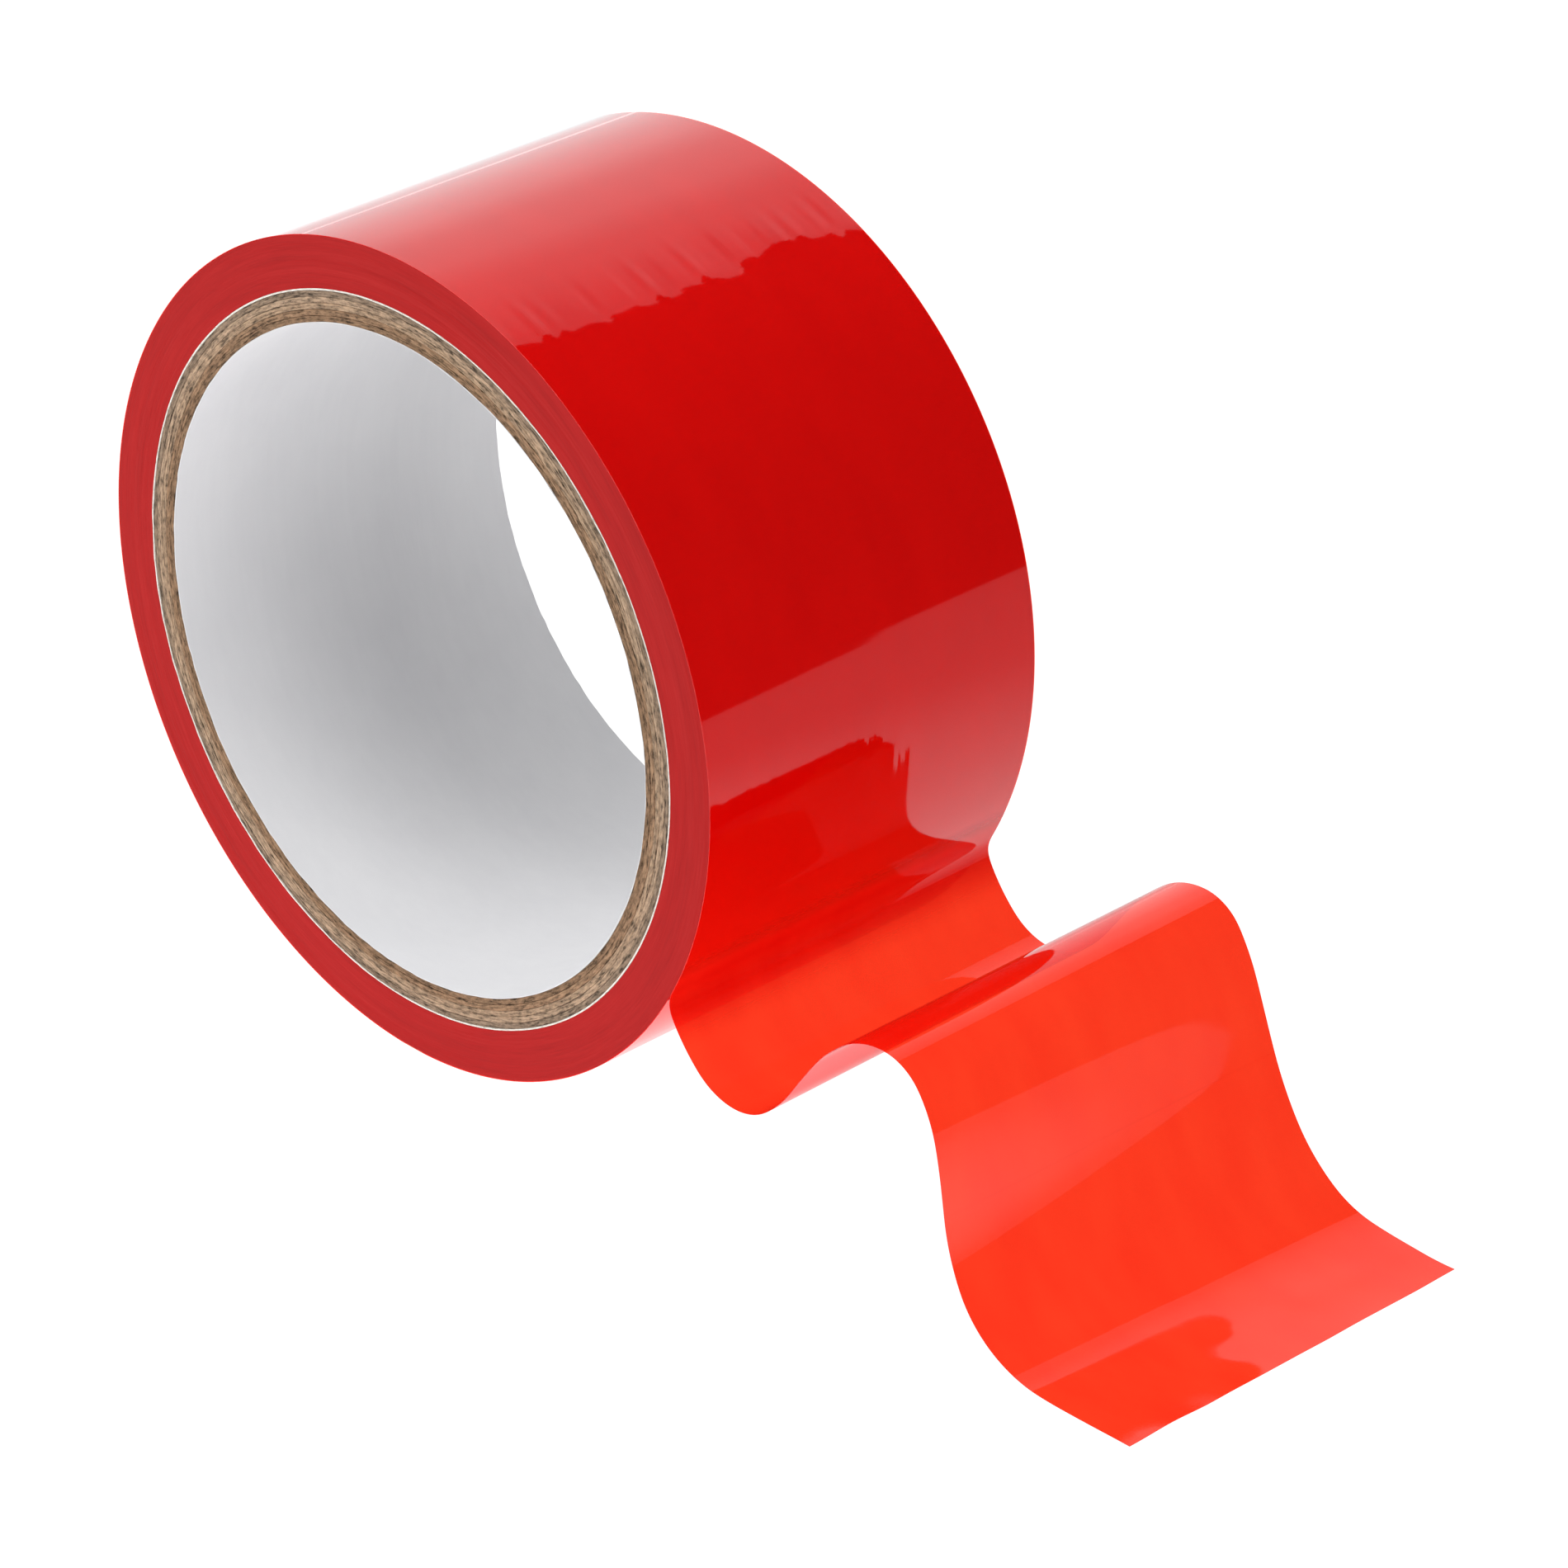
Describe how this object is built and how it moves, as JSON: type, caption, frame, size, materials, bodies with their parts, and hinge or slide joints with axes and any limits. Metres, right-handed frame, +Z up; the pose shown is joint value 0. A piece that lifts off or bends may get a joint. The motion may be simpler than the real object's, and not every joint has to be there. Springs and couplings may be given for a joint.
{
  "type": "adhesive tape roll",
  "caption": "Roll of glossy translucent film tape on a layered paperboard core, standing on its rim with a wavy peeled tail that lies on the floor.",
  "frame": {"origin": "on the floor, at the middle of the line that the roll stands on, below the middle of its axis", "axes": "+Y along the roll's axis towards the far side face, +X towards the free end of the tail, +Z up"},
  "size_m": [0.156, 0.048, 0.0956],
  "materials": {
    "white_liner": "satin",
    "kraft_dark": "matte",
    "kraft_light": "matte",
    "red_pack": "satin",
    "red_film": "gloss",
    "red_film_free": "gloss"
  },
  "bodies": {
    "roll": {"core_inner_liner": "white_liner", "core_kraft_ply_1": "kraft_dark", "core_kraft_ply_2": "kraft_dark", "core_kraft_ply_3": "kraft_light", "core_kraft_ply_4": "kraft_light", "core_kraft_ply_5": "kraft_light", "core_outer_liner": "white_liner", "wound_tape": "red_pack"},
    "last_turn": {"outer_turn": "red_film"},
    "tail_root": {"tail_root": "red_film_free"},
    "tail_rise": {"tail_rise": "red_film_free"},
    "tail_fall": {"tail_fall": "red_film_free"},
    "tail_end": {"tail_end": "red_film_free"}
  },
  "joints": [
    {"name": "unwind", "type": "hinge", "parent": "roll", "child": "last_turn", "pos_m": [0, 0, 0.0478], "axis": [0, -1, 0], "continuous": true},
    {"name": "peel", "type": "hinge", "parent": "last_turn", "child": "tail_root", "pos_m": [0.04235, 0, 0.02576], "axis": [0, -1, 0], "range_deg": [0, 45], "stiffness_Nm_per_rad": 0.02},
    {"name": "tail_dip", "type": "hinge", "parent": "tail_root", "child": "tail_rise", "pos_m": [0.05087, 0, 0.01438], "axis": [0, -1, 0], "range_deg": [-30, 15], "stiffness_Nm_per_rad": 0.02},
    {"name": "tail_hump", "type": "hinge", "parent": "tail_rise", "child": "tail_fall", "pos_m": [0.07259, 0, 0.03081], "axis": [0, -1, 0], "range_deg": [-15, 30], "stiffness_Nm_per_rad": 0.02},
    {"name": "tail_foot", "type": "hinge", "parent": "tail_fall", "child": "tail_end", "pos_m": [0.09095, 0, 0.00165], "axis": [0, -1, 0], "range_deg": [-25, 15], "stiffness_Nm_per_rad": 0.02}
  ]
}
